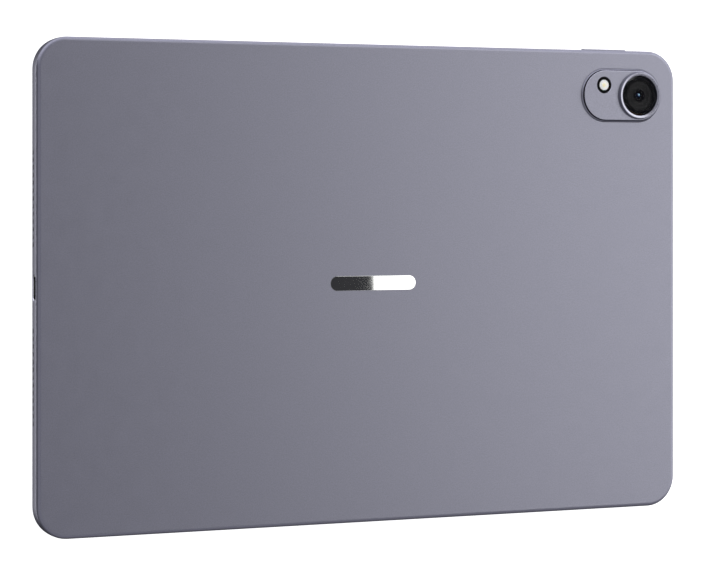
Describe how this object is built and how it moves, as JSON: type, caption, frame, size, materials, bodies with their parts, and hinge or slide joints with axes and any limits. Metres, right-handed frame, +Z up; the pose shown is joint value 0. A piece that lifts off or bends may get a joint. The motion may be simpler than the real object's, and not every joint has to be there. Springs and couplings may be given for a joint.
{
  "type": "tablet computer",
  "caption": "Thin slate tablet computer with a metal rear housing, raised rear camera plate, screen, volume rocker, power key and charging port.",
  "frame": {"origin": "middle of the screen's face, which the tablet lies on with its back up", "axes": "+X along the long side, away from the rear camera; +Y along the short side, out of the edge opposite the volume rocker; +Z up, out of the back"},
  "size_m": [0.2615, 0.1778, 0.0086],
  "materials": {
    "housing_aluminium": "fine bead-blasted, anodised space grey",
    "polished_inlay": "mirror polished",
    "cover_glass": "polished, black printed behind",
    "camera_glass": "polished, dark",
    "lens_glass": "polished, coated blue",
    "flash_diffuser": "satin, warm white",
    "display_panel": "polished",
    "white_film": "satin",
    "black_plastic": "matte moulded",
    "speaker_cloth": "fine woven",
    "steel": "plain stamped",
    "circuit_board": "satin solder mask",
    "flat_cable": "satin film",
    "battery_pouch": "satin pouch foil",
    "graphite": "matte sheet",
    "chip": "matte moulded",
    "antenna_copper": "satin"
  },
  "bodies": {
    "tablet": {"rear_housing": "housing_aluminium", "camera_island": "housing_aluminium", "camera_trim_ring": "housing_aluminium", "emblem_plate": "polished_inlay", "cover_glass": "cover_glass", "camera_cover_glass": "camera_glass", "camera_front_lens": "lens_glass", "flash_lens": "flash_diffuser", "lcd_panel": "display_panel", "backlight_unit": "white_film", "display_gasket": "black_plastic", "front_camera": "black_plastic", "camera_light_mask": "black_plastic", "camera_lens_barrel": "black_plastic", "flash_bezel": "black_plastic", "usb_c_tongue": "black_plastic", "speaker_port_side_upper": "black_plastic", "speaker_port_side_lower": "black_plastic", "speaker_camera_side_upper": "black_plastic", "speaker_camera_side_lower": "black_plastic", "speaker_mesh_port_side_upper": "speaker_cloth", "speaker_mesh_port_side_lower": "speaker_cloth", "speaker_mesh_camera_side_upper": "speaker_cloth", "speaker_mesh_camera_side_lower": "speaker_cloth", "display_tray": "steel", "volume_key_bracket": "steel", "power_key_bracket": "steel", "volume_up_switch": "steel", "volume_down_switch": "steel", "power_switch": "steel", "usb_c_shell": "steel", "processor_shield": "steel", "radio_shield": "steel", "camera_sensor_base": "steel", "mainboard_screw_1": "steel", "mainboard_screw_2": "steel", "mainboard_screw_3": "steel", "mainboard_screw_4": "steel", "port_board_screw_1": "steel", "port_board_screw_2": "steel", "mainboard": "circuit_board", "usb_board": "circuit_board", "battery_protection_board": "circuit_board", "flash_led_board": "circuit_board", "display_flex": "flat_cable", "rear_camera_flex": "flat_cable", "volume_key_flex": "flat_cable", "power_key_flex": "flat_cable", "board_link_flex": "flat_cable", "battery_flex": "flat_cable", "battery_cell_left": "battery_pouch", "battery_cell_right": "battery_pouch", "graphite_sheet": "graphite", "processor_chip": "chip", "light_sensor": "chip", "microphone": "chip", "wifi_antenna_1": "antenna_copper", "wifi_antenna_2": "antenna_copper"},
    "volume_key": {"volume_rocker": "housing_aluminium"},
    "power_key": {"power_button": "housing_aluminium"}
  },
  "joints": [
    {"name": "volume_rocker_tilt", "type": "hinge", "parent": "tablet", "child": "volume_key", "pos_m": [-0.1007, -0.08607, 0.0022], "axis": [0, 0, 1], "range_deg": [-1.2, 1.2], "stiffness_Nm_per_rad": 0.3},
    {"name": "power_button_press", "type": "slide", "parent": "tablet", "child": "power_key", "axis": [1, 0, 0], "range_m": [0, 0.00025], "stiffness_N_per_m": 2000}
  ]
}
